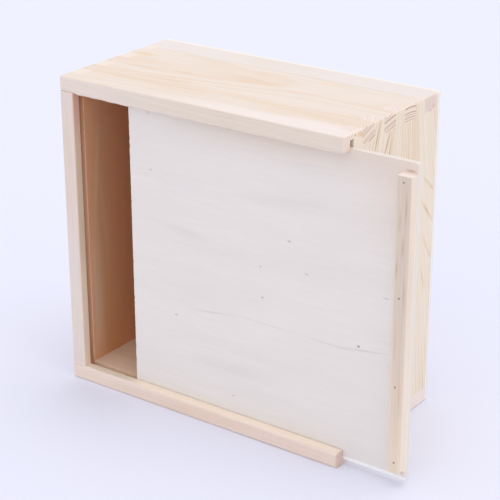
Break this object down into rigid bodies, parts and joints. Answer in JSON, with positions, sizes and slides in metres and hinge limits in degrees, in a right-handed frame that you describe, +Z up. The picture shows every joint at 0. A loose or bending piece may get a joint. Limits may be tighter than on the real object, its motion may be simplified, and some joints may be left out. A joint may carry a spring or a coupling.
{
  "type": "sliding lid wooden box",
  "caption": "Square comb-jointed pine box standing on a side wall, with a thin plywood lid that slides out of its grooves by a nailed pull batten.",
  "frame": {"origin": "middle of the outer face of the side wall that the box stands on", "axes": "+Z up as the box stands, +X along the lid's travel towards the open end, +Y from the lid side to the base panel"},
  "size_m": [0.2415, 0.104, 0.2],
  "materials": {
    "pine": "sanded, bare",
    "birch_plywood": "sanded, bare",
    "batten_pine": "planed, bare",
    "brad_steel": "dull wire"
  },
  "bodies": {
    "carcass": {"upper_side_wall": "pine", "lower_side_wall": "pine", "closed_end_wall": "pine", "open_end_wall": "pine", "base_panel": "birch_plywood"},
    "lid": {"lid_panel": "birch_plywood", "pull_batten": "batten_pine", "batten_brads": "brad_steel"}
  },
  "joints": [
    {"name": "lid_slide", "type": "slide", "parent": "carcass", "child": "lid", "axis": [1, 0, 0], "range_m": [-0.0415, 0.154]}
  ]
}
